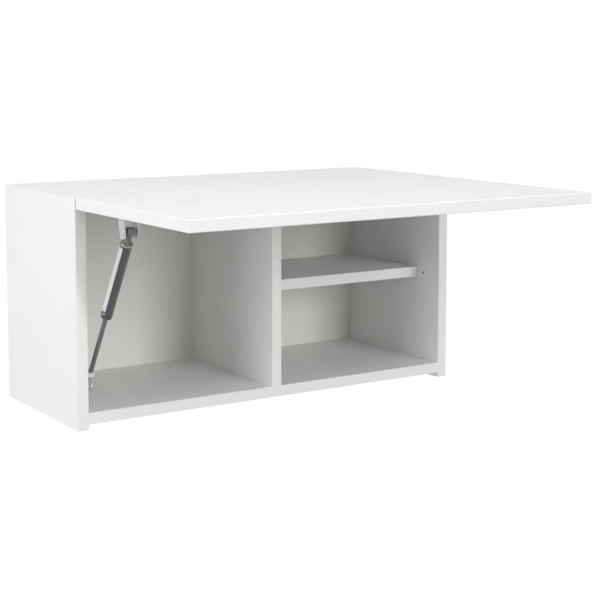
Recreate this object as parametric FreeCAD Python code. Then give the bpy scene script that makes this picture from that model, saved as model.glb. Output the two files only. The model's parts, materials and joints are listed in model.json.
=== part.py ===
import FreeCAD, Part
import math
import os

# A wall cabinet with a lift-up flap, a divider and one shelf, carried open by a gas strut.
# Millimetres. X runs to the right, -Y into the room and +Z up. The origin is the middle of the rear face.
# The flap is drawn open, level with the top, which is the rest position of every joint.

# Carcase
width = 600.0
height = 300.0
depth = 232.0
board = 15.0
band = 1.0
floor_lift = 7.0
divider_offset = 0.0
back_thickness = 3.0
back_rebate = 7.0
shelf_setback = 51.0
shelf_raise = 0.0
shelf_gap = 0.5

# Flap
flap_thickness = 15.0
edge_radius = 1.0
swing_clearance = 0.5

# Concealed hinges, one pin each
hinge_inset = 90.0
cup_radius = 17.5
cup_edge = 3.0
cup_wall = 0.8
cup_floor = 1.0
cup_room = 1.6
boss_start = 5.0
boss_wall = 1.7
flange_thickness = 1.3
flange_half_length = 27.0
flange_half_width = 7.0
flange_corner = 6.5
cup_screw_offset = 22.5
pin_radius = 1.5
pin_half_length = 9.3
pin_clearance = 0.05
knuckle_radius = 2.4
knuckle_half_width = 4.5
arm_reach = 27.0
arm_thickness = 4.4
arm_half_width = 6.5
arm_neck = 6.0
arm_length = 58.0
arm_screw_back = 47.0
arm_corner = 2.5
plate_setback = 8.0
plate_length = 48.0
plate_half_width = 7.0
wing_thickness = 1.5
wing_width = 14.0
wing_half_length = 22.0
wing_corner = 6.5

# Drilling grid
grid_inset = 37.0
grid_step = 32.0
shelf_pin_radius = 2.5
shelf_pin_depth = 9.0
shelf_pin_steps = (1, 5)
dowel_radius = 4.0
dowel_length = 30.0
dowel_in_face = 12.0
dowel_inset = 28.0
cam_radius = 7.5
cam_skin = 2.5
cam_distance = 34.0
cam_inset = 60.0
cam_cap_thickness = 1.0
cam_cap_radius = 8.8
bolt_thread_radius = 3.0
bolt_thread_length = 11.0
bolt_shank_radius = 2.5
bolt_head_radius = 3.5
bolt_head_length = 3.0
bolt_bore_radius = 4.0

# Gas strut, its plane measured from the left panel's inner face
strut_offset = 15.0
lower_pivot_back = 38.0
lower_pivot_up = 48.0
upper_pivot_out = 94.0
upper_pivot_down = 20.0
tube_radius = 7.5
tube_wall = 1.0
rod_radius = 3.0
gland_length = 10.0
piston_length = 6.0
rod_clearance = 0.05
closed_slack = 1.8
plug_length = 4.0
shoulder_length = 2.0
upper_neck = 17.7
lower_neck = 25.0
neck_radius = 4.2
collar_radius = 5.5
collar_length = 6.0
rod_thread = 9.0
eye_radius = 5.5
eye_half_width = 4.5
stud_radius = 2.5
stud_clearance = 0.05
open_pivot_gap = 0.5
rivet_head_radius = 3.6
rivet_head_height = 1.5
crimp_back = 9.0
crimp_width = 1.6
crimp_depth = 0.4
bracket_sheet = 2.0
flap_bracket_front = 17.0
flap_bracket_rear = 15.0
flap_screw_places = (-12.0, -2.0)
cheek_front = 4.5
cheek_rear = 6.5
cheek_below = 9.0
cheek_corner = 2.0
side_bracket_half_width = 8.0
side_bracket_half_height = 23.0
side_bracket_corner = 4.0
side_screw_offset = 16.0
spacer_radius = 5.0
spacer_gap = 0.3
clip_radius = 4.5
clip_thickness = 1.5

# Wall brackets
wall_screw_spacing = 480.0
wall_screw_drop = 20.0
wall_hole_radius = 4.0
wall_bracket_half_width = 20.0
wall_bracket_drop = 34.0
wall_bracket_shelf = 26.0
wall_bracket_sheet = 2.5
wall_bracket_screw_side = 12.0
wall_bracket_screw_out = 17.0
wall_bracket_corner = 5.0

# Small fasteners and pads
screw_radius = 2.0
screw_head_radius = 3.8
screw_head_height = 1.6
screw_length = 12.0
driver_half_length = 2.1
driver_half_width = 0.4
driver_depth = 1.1
brad_radius = 0.8
brad_length = 16.0
brad_spacing = 120.0
bumper_radius = 4.0
bumper_inset = 34.0
bumper_gap = 0.4
bumper_rounding = 1.0

# Places that follow from the sizes above
x_axis = FreeCAD.Vector(1, 0, 0)
y_axis = FreeCAD.Vector(0, 1, 0)
z_axis = FreeCAD.Vector(0, 0, 1)
left = -width / 2
right = width / 2
front = -depth
top = height / 2
bottom = -height / 2
inner_left = left + board
inner_right = right - board
top_under = top - board
floor_under = bottom + floor_lift
floor_top = floor_under + board
back_face = -back_thickness
divider_left = divider_offset - board / 2
divider_right = divider_offset + board / 2
shelf_under = (floor_top + top_under) / 2 - board / 2 + shelf_raise
shelf_middle = shelf_under + board / 2
closed_gap = swing_clearance + (math.sqrt(2) - 1) * (flap_thickness / 2 - edge_radius)
flap_rear = front - closed_gap
flap_depth = height - floor_lift
flap_front = flap_rear - flap_depth
flap_under = top - flap_thickness
pivot_y = flap_rear - flap_thickness / 2
pivot_z = top - flap_thickness / 2
cup_y = flap_rear - cup_edge - cup_radius
cup_depth = flap_thickness / 2 + knuckle_radius + cup_room + cup_floor
arm_low = pivot_z - arm_reach
arm_high = arm_low + arm_thickness
cam_depth = board - cam_skin
hinge_places = {"left": left + hinge_inset, "right": right - hinge_inset}
wall_places = {"left": -wall_screw_spacing / 2, "right": wall_screw_spacing / 2}

# The strut runs from its upper pivot on the flap to its lower pivot on the left side panel.
# Closing turns the upper pivot a quarter turn about the hinge pins, which sets the stroke.
strut_x = inner_left + strut_offset
upper_pivot = FreeCAD.Vector(strut_x, front - upper_pivot_out, flap_under - upper_pivot_down)
lower_pivot = FreeCAD.Vector(strut_x, front + lower_pivot_back, bottom + lower_pivot_up)
upper_pivot_closed = FreeCAD.Vector(strut_x, pivot_y + pivot_z - upper_pivot.z,
                                    pivot_z - pivot_y + upper_pivot.y)
open_length = upper_pivot.distanceToPoint(lower_pivot)
closed_length = upper_pivot_closed.distanceToPoint(lower_pivot)
stroke = open_length - closed_length
tube_length = closed_length - upper_neck - lower_neck - closed_slack
down_strut = (lower_pivot - upper_pivot).normalize()

solids = {}
drillings = {}
dowels = []
cam_bolts = []
cam_locks = []
cam_caps = []


def place(x, y, z):
    return FreeCAD.Vector(x, y, z)


def block(x0, x1, y0, y1, z0, z1):
    return Part.makeBox(x1 - x0, y1 - y0, z1 - z0, place(x0, y0, z0))


def bar(start, direction, radius, length):
    return Part.makeCylinder(radius, length, start, direction)


def tube(start, direction, outer, inner, length):
    return bar(start, direction, outer, length).cut(bar(start, direction, inner, length))


def join(first, *others):
    return first.fuse(list(others)).removeSplitter()


def round_corners(shape, direction, radius, longest=math.inf):
    # Rounds the edges that run along the direction, leaving any that are longer than the longest.
    edges = [edge for edge in shape.Edges
             if edge.Length < longest and abs(edge.tangentAt(edge.FirstParameter).dot(direction)) > 0.99]
    return shape.makeFillet(radius, edges)


def drill(node, shapes):
    drillings.setdefault(node, []).extend(shapes)


def pan_head_screw(seat, direction):
    # The head stands on the seat with a driver socket in it, and the shank goes on along the direction.
    head_start = seat - direction * screw_head_height
    head = bar(head_start, direction, screw_head_radius, screw_head_height)
    rim = [edge for edge in head.Edges if edge.Closed and edge.CenterOfMass.isEqual(head_start, 0.01)]
    head = head.makeFillet(screw_head_height / 2, rim)
    across = [axis for axis in (x_axis, y_axis, z_axis) if abs(axis.dot(direction)) < 0.5]
    for long_way, short_way in (across, across[::-1]):
        reach = long_way * driver_half_length + short_way * driver_half_width
        low = head_start - reach
        high = head_start + reach + direction * driver_depth
        head = head.cut(block(min(low.x, high.x), max(low.x, high.x), min(low.y, high.y), max(low.y, high.y),
                              min(low.z, high.z), max(low.z, high.z)))
    return join(head, bar(seat, direction, screw_radius, screw_length))


# Boards. Each front edge carries a band, so the chipboard starts one band behind the front.
def carcase():
    core_front = front + band
    back = block(inner_left - back_rebate, inner_right + back_rebate, back_face, 0,
                 floor_top - back_rebate, top_under + back_rebate)
    solids["side_panel_left"] = block(left, inner_left, core_front, 0, bottom, top)
    solids["side_panel_right"] = block(inner_right, right, core_front, 0, bottom, top)
    solids["top_panel"] = block(inner_left, inner_right, core_front, 0, top_under, top)
    solids["bottom_panel"] = block(inner_left, inner_right, core_front, 0, floor_under, floor_top)
    solids["divider"] = block(divider_left, divider_right, core_front, back_face, floor_top, top_under)
    solids["back_panel"] = back
    for node in ("side_panel_left", "side_panel_right", "top_panel", "bottom_panel"):
        drill(node, [back])
    solids["side_edge_bands"] = Part.makeCompound([
        block(left, inner_left, front, core_front, bottom, top),
        block(inner_right, right, front, core_front, bottom, top)])
    solids["board_edge_bands"] = Part.makeCompound([
        block(inner_left, inner_right, front, core_front, top_under, top),
        block(inner_left, inner_right, front, core_front, floor_under, floor_top),
        block(divider_left, divider_right, front, core_front, floor_top, top_under)])


def shelf():
    shelf_left = divider_right + shelf_gap
    shelf_right = inner_right - shelf_gap
    shelf_front = front + shelf_setback
    shelf_top = shelf_under + board
    solids["shelf"] = block(shelf_left, shelf_right, shelf_front + band, back_face, shelf_under, shelf_top)
    solids["shelf_edge_band"] = block(shelf_left, shelf_right, shelf_front, shelf_front + band,
                                      shelf_under, shelf_top)
    # Pins in the shelf's ends, one grid step or more behind a spare hole at the first grid place.
    pin_length = 2 * shelf_pin_depth + shelf_gap
    pins = []
    ends = (("divider", divider_right, -x_axis), ("side_panel_right", inner_right, x_axis))
    for node, face, outward in ends:
        for step in shelf_pin_steps:
            middle = place(face, front + grid_inset + step * grid_step, shelf_middle)
            pin = bar(middle + outward * shelf_pin_depth, -outward, shelf_pin_radius, pin_length)
            drill(node, [pin])
            pins.append(pin)
        spare = place(face, front + grid_inset, shelf_middle)
        drill(node, [bar(spare, outward, shelf_pin_radius, shelf_pin_depth)])
    drill("shelf", pins)
    solids["shelf_pins"] = Part.makeCompound(pins)


# Board joints: dowels and cam fittings, with the cams on faces that don't show.
def add_dowel(face_middle, into, board_node, panel_node):
    start = face_middle - into * (dowel_length - dowel_in_face)
    dowel = bar(start, into, dowel_radius, dowel_length)
    dowels.append(dowel)
    drill(board_node, [dowel])
    drill(panel_node, [dowel])


def add_cam(face_middle, into, cam_side, board_node, panel_node):
    centre = face_middle - into * cam_distance
    bore = bar(centre, into, bolt_bore_radius, cam_distance)
    bolt = join(bar(centre, into, bolt_head_radius, bolt_head_length),
                bar(centre, into, bolt_shank_radius, cam_distance),
                bar(face_middle, into, bolt_thread_radius, bolt_thread_length))
    cam_face = centre + cam_side * (board / 2)
    cam = bar(cam_face, -cam_side, cam_radius, cam_depth)
    cam_bolts.append(bolt)
    cam_locks.append(cam.cut(bore))
    cam_caps.append(bar(cam_face, cam_side, cam_cap_radius, cam_cap_thickness))
    drill(board_node, [bore, cam])
    drill(panel_node, [bolt])


def board_joints():
    joints = []
    for board_node, middle_z in (("top_panel", top - board / 2), ("bottom_panel", floor_top - board / 2)):
        joints.append((place(inner_left, 0, middle_z), -x_axis, -z_axis, board_node, "side_panel_left"))
        joints.append((place(inner_right, 0, middle_z), x_axis, -z_axis, board_node, "side_panel_right"))
    joints.append((place(divider_offset, 0, top_under), z_axis, x_axis, "divider", "top_panel"))
    joints.append((place(divider_offset, 0, floor_top), -z_axis, x_axis, "divider", "bottom_panel"))
    for edge_middle, into, cam_side, board_node, panel_node in joints:
        for y in (front + dowel_inset, -dowel_inset):
            add_dowel(edge_middle + y_axis * y, into, board_node, panel_node)
        for y in (front + cam_inset, -cam_inset):
            add_cam(edge_middle + y_axis * y, into, cam_side, board_node, panel_node)
    solids["dowels"] = Part.makeCompound(dowels)
    solids["cam_bolts"] = Part.makeCompound(cam_bolts)
    solids["cam_locks"] = Part.makeCompound(cam_locks)
    solids["cam_caps"] = Part.makeCompound(cam_caps)


def back_brads():
    inner_width = inner_right - inner_left
    count = round(inner_width / brad_spacing)
    across = [inner_left + inner_width * (i + 0.5) / count for i in range(count)]
    upper_z = top_under + back_rebate / 2
    lower_z = floor_top - back_rebate / 2
    upright = (-brad_spacing / 2, brad_spacing / 2)
    brads = {"top_panel": [(x, upper_z) for x in across],
             "bottom_panel": [(x, lower_z) for x in across],
             "side_panel_left": [(inner_left - back_rebate / 2, z) for z in upright],
             "side_panel_right": [(inner_right + back_rebate / 2, z) for z in upright]}
    all_brads = []
    for node, places in brads.items():
        pins = [bar(place(x, 0, z), -y_axis, brad_radius, brad_length) for x, z in places]
        drill(node, pins)
        all_brads += pins
    drill("back_panel", all_brads)
    solids["back_panel_brads"] = Part.makeCompound(all_brads)


# Wall brackets: steel angles in the upper rear corners, each with a hole for one wall screw.
def wall_brackets():
    screws = []
    for side, x in wall_places.items():
        node = "wall_bracket_" + side
        x0 = x - wall_bracket_half_width
        x1 = x + wall_bracket_half_width
        leg_face = back_face - wall_bracket_sheet
        foot_face = top_under - wall_bracket_sheet
        leg = block(x0, x1, leg_face, back_face, top_under - wall_bracket_drop, top_under)
        foot = block(x0, x1, back_face - wall_bracket_shelf, back_face, foot_face, top_under)
        angle = join(leg, foot)
        for axis in (y_axis, z_axis):
            angle = round_corners(angle, axis, wall_bracket_corner, wall_bracket_sheet + 0.1)
        solids[node] = angle
        hole_start = place(x, leg_face, top_under - wall_screw_drop)
        hole = bar(hole_start, y_axis, wall_hole_radius, wall_bracket_sheet + back_thickness)
        pair = [pan_head_screw(place(x + offset, back_face - wall_bracket_screw_out, foot_face), z_axis)
                for offset in (-wall_bracket_screw_side, wall_bracket_screw_side)]
        drill(node, [hole] + pair)
        drill("back_panel", [hole])
        drill("top_panel", pair)
        screws += pair
    solids["wall_bracket_screws"] = Part.makeCompound(screws)


# Flap, with its edges rounded inside the thickness of the bands
def flap():
    outline = block(left, right, flap_front, flap_rear, flap_under, top)
    face_edges = [edge for edge in outline.Edges if edge.Length > flap_thickness + band]
    outline = outline.makeFillet(edge_radius, face_edges)
    core = outline.common(block(left + band, right - band, flap_front + band, flap_rear - band,
                                flap_under, top))
    rim = outline.cut(core)
    long_strips = block(left + band, right - band, flap_front, flap_rear, flap_under, top)
    solids["flap_panel"] = core
    strips = rim.common(long_strips).Solids + rim.cut(long_strips).Solids
    solids["flap_edge_bands"] = Part.makeCompound(strips)
    bumpers = []
    for x in (left + board / 2, right - board / 2):
        thickness = closed_gap - bumper_gap
        bumper = bar(place(x, flap_front + bumper_inset, flap_under), -z_axis, bumper_radius, thickness)
        tip = place(x, flap_front + bumper_inset, flap_under - thickness)
        rim_edge = [edge for edge in bumper.Edges if edge.Closed and edge.CenterOfMass.isEqual(tip, 0.01)]
        bumpers.append(bumper.makeFillet(bumper_rounding, rim_edge))
    solids["flap_bumpers"] = Part.makeCompound(bumpers)


# Hinges: a cup in the flap, a pin across it and a hooked arm that reaches in from the top panel
def hinge_cup(node, x):
    mouth = place(x, cup_y, flap_under)
    body = bar(mouth, z_axis, cup_radius, cup_depth)
    drill("flap_panel", [body])
    cavity = bar(mouth - z_axis * flange_thickness, z_axis, cup_radius - cup_wall,
                 flange_thickness + cup_depth - cup_floor)
    rim = bar(mouth - z_axis * flange_thickness, z_axis, cup_radius, flange_thickness)
    flange = block(x - flange_half_length, x + flange_half_length, cup_y - flange_half_width,
                   cup_y + flange_half_width, flap_under - flange_thickness, flap_under)
    flange = round_corners(flange, z_axis, flange_corner)
    cup = join(body, rim, flange).cut(cavity)
    boss_reach = pin_radius + boss_wall
    bosses = [block(x + start, x + start + cup_radius - boss_start, pivot_y - boss_reach, flap_rear,
                    pivot_z - boss_reach, flap_under + cup_depth).common(body)
              for start in (boss_start, -cup_radius)]
    solids[node] = join(cup, *bosses)
    screws = [pan_head_screw(place(x + offset, cup_y, flap_under - flange_thickness), z_axis)
              for offset in (-cup_screw_offset, cup_screw_offset)]
    drill("flap_panel", screws)
    drill(node, screws)
    return screws


def hinge_arm(node, x):
    pivot = place(x - knuckle_half_width, pivot_y, pivot_z)
    arm_front = pivot_y - knuckle_radius
    knuckle = bar(pivot, x_axis, knuckle_radius, 2 * knuckle_half_width)
    hook = block(x - knuckle_half_width, x + knuckle_half_width, arm_front, pivot_y + knuckle_radius,
                 arm_low, pivot_z)
    neck = block(x - knuckle_half_width, x + knuckle_half_width, arm_front, front + arm_neck + arm_corner,
                 arm_low, arm_high)
    body = block(x - arm_half_width, x + arm_half_width, front + arm_neck, front + arm_length,
                 arm_low, arm_high)
    body = round_corners(body, z_axis, arm_corner)
    bore = bar(pivot, x_axis, pin_radius + pin_clearance, 2 * knuckle_half_width)
    solids[node] = join(knuckle, hook, neck, body).cut(bore)


def hinge_plate(node, x):
    tower = block(x - plate_half_width, x + plate_half_width, front + plate_setback,
                  front + plate_setback + plate_length, arm_high, top_under)
    wings_y = front + grid_inset
    wings = block(x - wing_half_length, x + wing_half_length, wings_y - wing_width / 2,
                  wings_y + wing_width / 2, top_under - wing_thickness, top_under)
    wings = round_corners(wings, z_axis, wing_corner)
    solids[node] = join(round_corners(tower, z_axis, arm_corner), wings)
    screws = [pan_head_screw(place(x + offset, wings_y, top_under - wing_thickness), z_axis)
              for offset in (-grid_step / 2, grid_step / 2)]
    drill("top_panel", screws)
    drill(node, screws)
    return screws


def hinges():
    cup_screws = []
    plate_screws = []
    arm_screws = []
    for side, x in hinge_places.items():
        hinge = "hinge_" + side
        cup_screws += hinge_cup(hinge + "_cup", x)
        hinge_arm(hinge + "_arm", x)
        plate_screws += hinge_plate(hinge + "_plate", x)
        pin = bar(place(x - pin_half_length, pivot_y, pivot_z), x_axis, pin_radius, 2 * pin_half_length)
        solids[hinge + "_pin"] = pin
        drill(hinge + "_cup", [pin])
        arm_screw = pan_head_screw(place(x, front + arm_screw_back, arm_low), z_axis)
        drill(hinge + "_arm", [arm_screw])
        drill(hinge + "_plate", [arm_screw])
        arm_screws.append(arm_screw)
    solids["hinge_cup_screws"] = Part.makeCompound(cup_screws)
    solids["hinge_plate_screws"] = Part.makeCompound(plate_screws)
    solids["hinge_arm_screws"] = Part.makeCompound(arm_screws)


# Gas strut
def strut_eye(centre, radius):
    return bar(centre - x_axis * eye_half_width, x_axis, radius, 2 * eye_half_width)


def strut_cylinder():
    inner_radius = tube_radius - tube_wall
    tube_start = upper_pivot + down_strut * upper_neck
    tube_end = tube_start + down_strut * tube_length
    crimp = tube(tube_end - down_strut * crimp_back, down_strut, tube_radius + crimp_depth,
                 tube_radius - crimp_depth, crimp_width)
    solids["strut_tube"] = tube(tube_start, down_strut, tube_radius, inner_radius, tube_length).cut(crimp)
    shoulder_start = tube_start - down_strut * shoulder_length
    shoulder = Part.makeCone(neck_radius, tube_radius, shoulder_length, shoulder_start, down_strut)
    plug = bar(tube_start, down_strut, inner_radius, plug_length)
    neck = bar(upper_pivot, down_strut, neck_radius, upper_neck)
    pin = bar(upper_pivot - x_axis * tube_radius, x_axis, stud_radius, 2 * tube_radius)
    solids["strut_upper_pin"] = pin
    solids["strut_upper_eye"] = join(strut_eye(upper_pivot, eye_radius), neck, shoulder, plug)
    drill("strut_upper_eye", [pin])
    gland_bore = rod_radius + rod_clearance
    solids["strut_gland"] = tube(tube_end, -down_strut, inner_radius, gland_bore, gland_length)


def strut_rod():
    piston_radius = tube_radius - tube_wall - rod_clearance
    rod_end = lower_pivot - down_strut * (lower_neck - rod_thread)
    rod_length = rod_thread + closed_slack + stroke + gland_length + rod_clearance + piston_length
    rod = bar(rod_end, -down_strut, rod_radius, rod_length)
    piston_start = rod_end - down_strut * (rod_length - piston_length)
    solids["strut_rod"] = rod
    solids["strut_piston"] = tube(piston_start, -down_strut, piston_radius, rod_radius, piston_length)
    collar_start = lower_pivot - down_strut * lower_neck
    fitting = join(strut_eye(lower_pivot, eye_radius), bar(collar_start, down_strut, neck_radius, lower_neck),
                   bar(collar_start, down_strut, collar_radius, collar_length))
    solids["strut_lower_eye"] = fitting.cut([strut_eye(lower_pivot, stud_radius + stud_clearance), rod])


def strut_side_bracket():
    y = lower_pivot.y
    z = lower_pivot.z
    plate_face = inner_left + bracket_sheet
    plate = block(inner_left, plate_face, y - side_bracket_half_width, y + side_bracket_half_width,
                  z - side_bracket_half_height, z + side_bracket_half_height)
    plate = round_corners(plate, x_axis, side_bracket_corner)
    spacer_length = strut_x - eye_half_width - spacer_gap - plate_face
    spacer = bar(place(plate_face, y, z), x_axis, spacer_radius, spacer_length)
    clip_start = strut_x + eye_half_width + spacer_gap
    stud = bar(place(inner_left, y, z), x_axis, stud_radius, clip_start + 2 * clip_thickness - inner_left)
    solids["strut_side_bracket"] = join(plate, spacer)
    solids["strut_stud"] = stud
    clip = tube(place(clip_start, y, z), x_axis, clip_radius, stud_radius, clip_thickness)
    solids["strut_stud_clip"] = clip
    screws = [pan_head_screw(place(plate_face, y, z + offset), -x_axis)
              for offset in (-side_screw_offset, side_screw_offset)]
    drill("strut_side_bracket", screws + [stud])
    drill("side_panel_left", screws)
    solids["strut_side_screws"] = Part.makeCompound(screws)


def bracket_cheek(x):
    # A plate with an upright front edge and a rear edge that tapers down to the pin.
    y = upper_pivot.y
    low = upper_pivot.z - cheek_below
    corners = [place(x, y - cheek_front, flap_under), place(x, y + flap_bracket_rear, flap_under),
               place(x, y + cheek_rear, low), place(x, y - cheek_front + cheek_corner, low),
               place(x, y - cheek_front, low + cheek_corner)]
    outline = Part.makePolygon(corners + corners[:1])
    return Part.Face(outline).extrude(x_axis * bracket_sheet)


def strut_flap_bracket():
    # The loop is open here: the strut's pin stops one gap short of the two cheeks that it turns in.
    reach = tube_radius + open_pivot_gap
    y = upper_pivot.y
    z = upper_pivot.z
    base = block(strut_x - reach, strut_x + reach, y - flap_bracket_front, y + flap_bracket_rear,
                 flap_under - bracket_sheet, flap_under)
    left_start = place(strut_x - reach - bracket_sheet, y, z)
    right_start = place(strut_x + reach, y, z)
    rivets = [join(bar(left_start, x_axis, stud_radius, bracket_sheet),
                   bar(left_start, -x_axis, rivet_head_radius, rivet_head_height)),
              join(bar(right_start, x_axis, stud_radius, bracket_sheet),
                   bar(right_start + x_axis * bracket_sheet, x_axis, rivet_head_radius, rivet_head_height))]
    screws = [pan_head_screw(place(strut_x, y + offset, flap_under - bracket_sheet), z_axis)
              for offset in flap_screw_places]
    solids["strut_flap_bracket"] = join(base, bracket_cheek(left_start.x), bracket_cheek(right_start.x))
    solids["strut_flap_rivets"] = Part.makeCompound(rivets)
    solids["strut_flap_screws"] = Part.makeCompound(screws)
    drill("strut_flap_bracket", screws + rivets)
    drill("flap_panel", screws)


def cut_drillings():
    for node, cutters in drillings.items():
        solids[node] = solids[node].cut(cutters)


def export_parts():
    os.makedirs("parts", exist_ok=True)
    for node, shape in solids.items():
        shape.exportStep("parts/" + node + ".step")
        state = "valid" if shape.isValid() else "BAD"
        print(node, len(shape.Solids), "solids", round(shape.Volume), "mm3", state)


carcase()
shelf()
board_joints()
back_brads()
wall_brackets()
flap()
hinges()
strut_cylinder()
strut_rod()
strut_side_bracket()
strut_flap_bracket()
cut_drillings()
export_parts()
print("strut open", round(open_length, 2), "closed", round(closed_length, 2), "stroke", round(stroke, 2))
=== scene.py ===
import json
import math

import bmesh
import bpy
from mathutils import Matrix, Vector

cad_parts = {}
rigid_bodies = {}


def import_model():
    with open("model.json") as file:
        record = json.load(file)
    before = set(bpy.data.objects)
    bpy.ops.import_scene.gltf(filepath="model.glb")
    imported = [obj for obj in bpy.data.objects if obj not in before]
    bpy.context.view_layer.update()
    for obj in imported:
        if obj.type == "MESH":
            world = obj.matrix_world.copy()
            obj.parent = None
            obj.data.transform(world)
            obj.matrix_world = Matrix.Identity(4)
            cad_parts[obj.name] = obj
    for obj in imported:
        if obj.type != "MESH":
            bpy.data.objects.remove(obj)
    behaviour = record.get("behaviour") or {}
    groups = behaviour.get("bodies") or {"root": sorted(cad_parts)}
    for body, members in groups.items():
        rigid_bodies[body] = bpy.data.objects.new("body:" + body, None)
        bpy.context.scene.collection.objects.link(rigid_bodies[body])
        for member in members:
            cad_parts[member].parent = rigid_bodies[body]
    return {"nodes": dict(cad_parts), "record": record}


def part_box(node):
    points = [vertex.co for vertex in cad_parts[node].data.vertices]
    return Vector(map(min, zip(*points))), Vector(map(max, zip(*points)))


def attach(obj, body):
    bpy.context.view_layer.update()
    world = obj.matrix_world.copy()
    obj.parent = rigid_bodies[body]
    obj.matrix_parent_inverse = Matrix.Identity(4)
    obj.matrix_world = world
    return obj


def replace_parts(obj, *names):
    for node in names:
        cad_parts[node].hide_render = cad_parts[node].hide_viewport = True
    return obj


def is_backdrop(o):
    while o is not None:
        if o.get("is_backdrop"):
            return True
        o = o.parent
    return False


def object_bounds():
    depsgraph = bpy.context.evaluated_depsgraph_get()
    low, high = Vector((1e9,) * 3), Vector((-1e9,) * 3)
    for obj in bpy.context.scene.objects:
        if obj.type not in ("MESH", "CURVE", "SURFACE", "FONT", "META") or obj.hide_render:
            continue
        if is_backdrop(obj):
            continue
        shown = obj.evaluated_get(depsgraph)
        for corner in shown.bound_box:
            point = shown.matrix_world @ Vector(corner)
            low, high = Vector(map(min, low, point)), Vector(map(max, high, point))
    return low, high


# Wall cabinet with a lift-up flap. Metres, X to the right, Y into the wall, Z up.
mm = 0.001

for leftover in list(bpy.data.objects):
    bpy.data.objects.remove(leftover)
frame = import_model()
cadLow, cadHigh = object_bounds()
nodes = frame["nodes"]
bodyOf = {node: body for body, members in frame["record"]["behaviour"]["bodies"].items() for node in members}
slotOf = {part["node"]: part["material_slot"] for part in frame["record"]["subparts"]}
print("frame loaded:", len(nodes), "parts")


# Materials

def linear(code):
    # sRGB hex to the linear numbers that a shader takes
    channels = [int(code[place:place + 2], 16) / 255 for place in (1, 3, 5)]
    return (*[c / 12.92 if c <= 0.04045 else ((c + 0.055) / 1.055) ** 2.4 for c in channels], 1.0)


def addNode(material, kind, inputs=None, **settings):
    # An input takes a value, a socket to link, or a node whose first output is linked
    node = material.node_tree.nodes.new(kind)
    for name, value in settings.items():
        setattr(node, name, value)
    for socket, value in (inputs or {}).items():
        if isinstance(value, bpy.types.Node):
            value = value.outputs[0]
        if isinstance(value, bpy.types.NodeSocket):
            material.node_tree.links.new(value, node.inputs[socket])
        else:
            node.inputs[socket].default_value = value
    return node


def newMaterial(name):
    # The material and the place on the part that its patterns are drawn by
    material = bpy.data.materials.new(name)
    material.use_nodes = True
    material.node_tree.nodes.clear()
    return material, addNode(material, "ShaderNodeTexCoord").outputs["Object"]


def twoTone(material, pattern, first, second, span=(0.3, 0.7), share=(0.0, 1.0)):
    # Over this span of the pattern's values, the colour goes from the first to the second by this share
    factor = addNode(material, "ShaderNodeMapRange", {
        "Value": pattern, "From Min": span[0], "From Max": span[1], "To Min": share[0], "To Max": share[1]})
    return addNode(material, "ShaderNodeMix", {0: factor, 6: linear(first), 7: linear(second)},
                   data_type="RGBA").outputs[2]


def finishMaterial(material, colour, inputs):
    shader = addNode(material, "ShaderNodeBsdfPrincipled", {"Base Color": colour, **inputs})
    addNode(material, "ShaderNodeOutputMaterial", {"Surface": shader})
    return material


def finishByPattern(material, colour, pattern, look, inputs):
    # Roughness and relief both follow the pattern; a look with no bump stays level
    rough = addNode(material, "ShaderNodeMapRange", {"Value": pattern, "From Min": 0.3, "From Max": 0.7,
                                                     "To Min": look["roughLow"], "To Max": look["roughHigh"]})
    inputs = {"Roughness": rough, **inputs}
    if "bump" in look:
        inputs["Normal"] = addNode(material, "ShaderNodeBump",
                                   {"Strength": look["bump"], "Distance": look["relief"], "Height": pattern})
    return finishMaterial(material, colour, inputs)


def chipboard(material, place):
    # Sawn particle board: flat wood chips 1 to 4 mm across, pale and dark, pressed in all directions
    look = {"pale": "#CDAE84", "dark": "#8D6A45", "chip": 2.4 * mm, "long": 5.0 * mm,
            "flatness": (1.0, 1.0, 2.2)}
    pressed = addNode(material, "ShaderNodeVectorMath",
                      {0: place, 1: look["flatness"]}, operation="MULTIPLY")
    chips = addNode(material, "ShaderNodeTexVoronoi", {"Vector": pressed, "Scale": 1 / look["chip"]})
    chipTone = addNode(material, "ShaderNodeSeparateColor", {0: chips.outputs["Color"]})
    broad = addNode(material, "ShaderNodeTexNoise",
                    {"Vector": place, "Scale": 1 / look["long"], "Detail": 3.0})
    tone = addNode(material, "ShaderNodeMath", {0: chipTone, 1: broad}, operation="MULTIPLY")
    return twoTone(material, tone, look["dark"], look["pale"], (0.0, 0.7)), chips.outputs["Distance"]


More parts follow.
